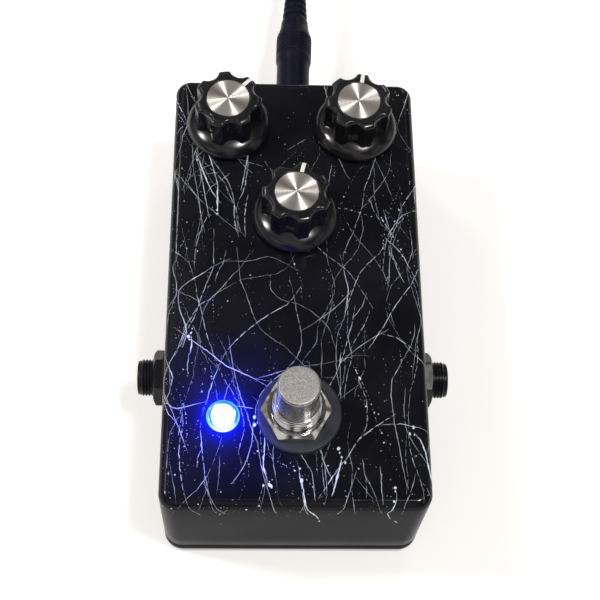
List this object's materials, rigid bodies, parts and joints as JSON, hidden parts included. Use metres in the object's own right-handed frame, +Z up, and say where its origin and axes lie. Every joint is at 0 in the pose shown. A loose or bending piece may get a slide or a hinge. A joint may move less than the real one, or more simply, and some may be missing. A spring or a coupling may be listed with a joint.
{
  "type": "guitar effects pedal",
  "caption": "Compact effects pedal with turning control knobs, a sprung stomp switch, a status light, side audio jacks and a rear power lead.",
  "frame": {"origin": "on the floor, under the middle of the pedal's bounding box without its power lead", "axes": "+Z up, +Y towards the rear power jack, +X towards the right-hand jack when played from the front"},
  "size_m": [0.0848, 0.2718, 0.061],
  "materials": {
    "painted_case": "gloss black with a white web spatter",
    "painted_lid": "gloss black",
    "zinc_screw": "zinc plated",
    "foot_rubber": "matte",
    "circuit_board": "solder mask over glass epoxy",
    "chip_black": "moulded epoxy",
    "capacitor_sleeve": "shrink sleeve",
    "film_red": "epoxy dipped",
    "resistor_blue": "lacquered",
    "diode_glass": "glass with copper tint",
    "jack_black": "semi gloss moulded",
    "jack_nut_black": "semi gloss moulded",
    "jack_washer_black": "matte",
    "tinned_contact": "tin plated",
    "pot_steel": "dull plated",
    "hex_nut_steel": "nickel plated",
    "shaft_aluminium": "machined",
    "knob_black": "polished phenolic",
    "knob_insert": "spun, with circular grain",
    "pointer_white": "paint filled line",
    "set_screw_steel": "black oxide",
    "switch_blue": "moulded",
    "switch_chrome": "bright plated",
    "button_steel": "plated, worn matt on its top",
    "spring_steel": "drawn wire",
    "washer_grey": "nylon",
    "bezel_chrome": "bright plated",
    "led_blue": "lit blue",
    "wire_mixed": "PVC insulation",
    "wire_red": "PVC insulation",
    "wire_blue": "PVC insulation",
    "plug_black": "moulded PVC",
    "plug_metal": "nickel plated",
    "lead_black": "PVC sheath",
    "tie_black": "hook and loop strap"
  },
  "bodies": {
    "case": {"enclosure_body": "painted_case", "bottom_lid": "painted_lid", "lid_screws": "zinc_screw", "rubber_feet": "foot_rubber", "main_pcb": "circuit_board", "ic_chips": "chip_black", "electrolytic_capacitors": "capacitor_sleeve", "film_capacitors": "film_red", "resistors": "resistor_blue", "diodes": "diode_glass", "jack_in_body": "jack_black", "jack_out_body": "jack_black", "jack_washers": "jack_washer_black", "jack_nuts": "jack_nut_black", "jack_contacts": "tinned_contact", "dc_jack_body": "jack_black", "dc_jack_nut": "jack_nut_black", "dc_jack_contacts": "tinned_contact", "pot_left_housing": "pot_steel", "pot_right_housing": "pot_steel", "pot_center_housing": "pot_steel", "pot_nuts": "hex_nut_steel", "pot_washers": "hex_nut_steel", "pot_terminals": "tinned_contact", "footswitch_housing": "switch_blue", "footswitch_bushing": "switch_chrome", "footswitch_top_nut": "switch_chrome", "footswitch_back_nut": "hex_nut_steel", "footswitch_washer": "washer_grey", "footswitch_lock_washer": "hex_nut_steel", "footswitch_lugs": "tinned_contact", "led_bezel": "bezel_chrome", "led_lens": "led_blue", "led_wires": "wire_blue", "signal_wires": "wire_mixed", "power_wires": "wire_red", "power_plug_body": "plug_black", "power_plug_barrel": "plug_metal", "power_lead": "lead_black", "power_lead_coil": "lead_black", "lead_tie": "tie_black", "far_plug_body": "plug_black", "far_plug_barrel": "plug_metal"},
    "left_knob": {"pot_left_shaft": "shaft_aluminium", "knob_left_cap": "knob_black", "knob_left_insert": "knob_insert", "knob_left_pointer": "pointer_white", "knob_left_set_screw": "set_screw_steel"},
    "right_knob": {"pot_right_shaft": "shaft_aluminium", "knob_right_cap": "knob_black", "knob_right_insert": "knob_insert", "knob_right_pointer": "pointer_white", "knob_right_set_screw": "set_screw_steel"},
    "center_knob": {"pot_center_shaft": "shaft_aluminium", "knob_center_cap": "knob_black", "knob_center_insert": "knob_insert", "knob_center_pointer": "pointer_white", "knob_center_set_screw": "set_screw_steel"},
    "stomp": {"footswitch_button": "button_steel", "footswitch_spring": "spring_steel"}
  },
  "joints": [
    {"name": "left_knob_turn", "type": "hinge", "parent": "case", "child": "left_knob", "pos_m": [-0.0177, 0.0431, 0.0415], "axis": [0, 0, 1], "range_deg": [-106, 194]},
    {"name": "right_knob_turn", "type": "hinge", "parent": "case", "child": "right_knob", "pos_m": [0.0163, 0.0431, 0.0415], "axis": [0, 0, 1], "range_deg": [-141, 159]},
    {"name": "center_knob_turn", "type": "hinge", "parent": "case", "child": "center_knob", "pos_m": [0, 0.0157, 0.0415], "axis": [0, 0, 1], "range_deg": [-137, 163]},
    {"name": "footswitch_press", "type": "slide", "parent": "case", "child": "stomp", "axis": [0, 0, -1], "range_m": [0, 0.0035], "stiffness_N_per_m": 1500, "springref_m": -0.008, "deforming": ["footswitch_spring"]}
  ]
}
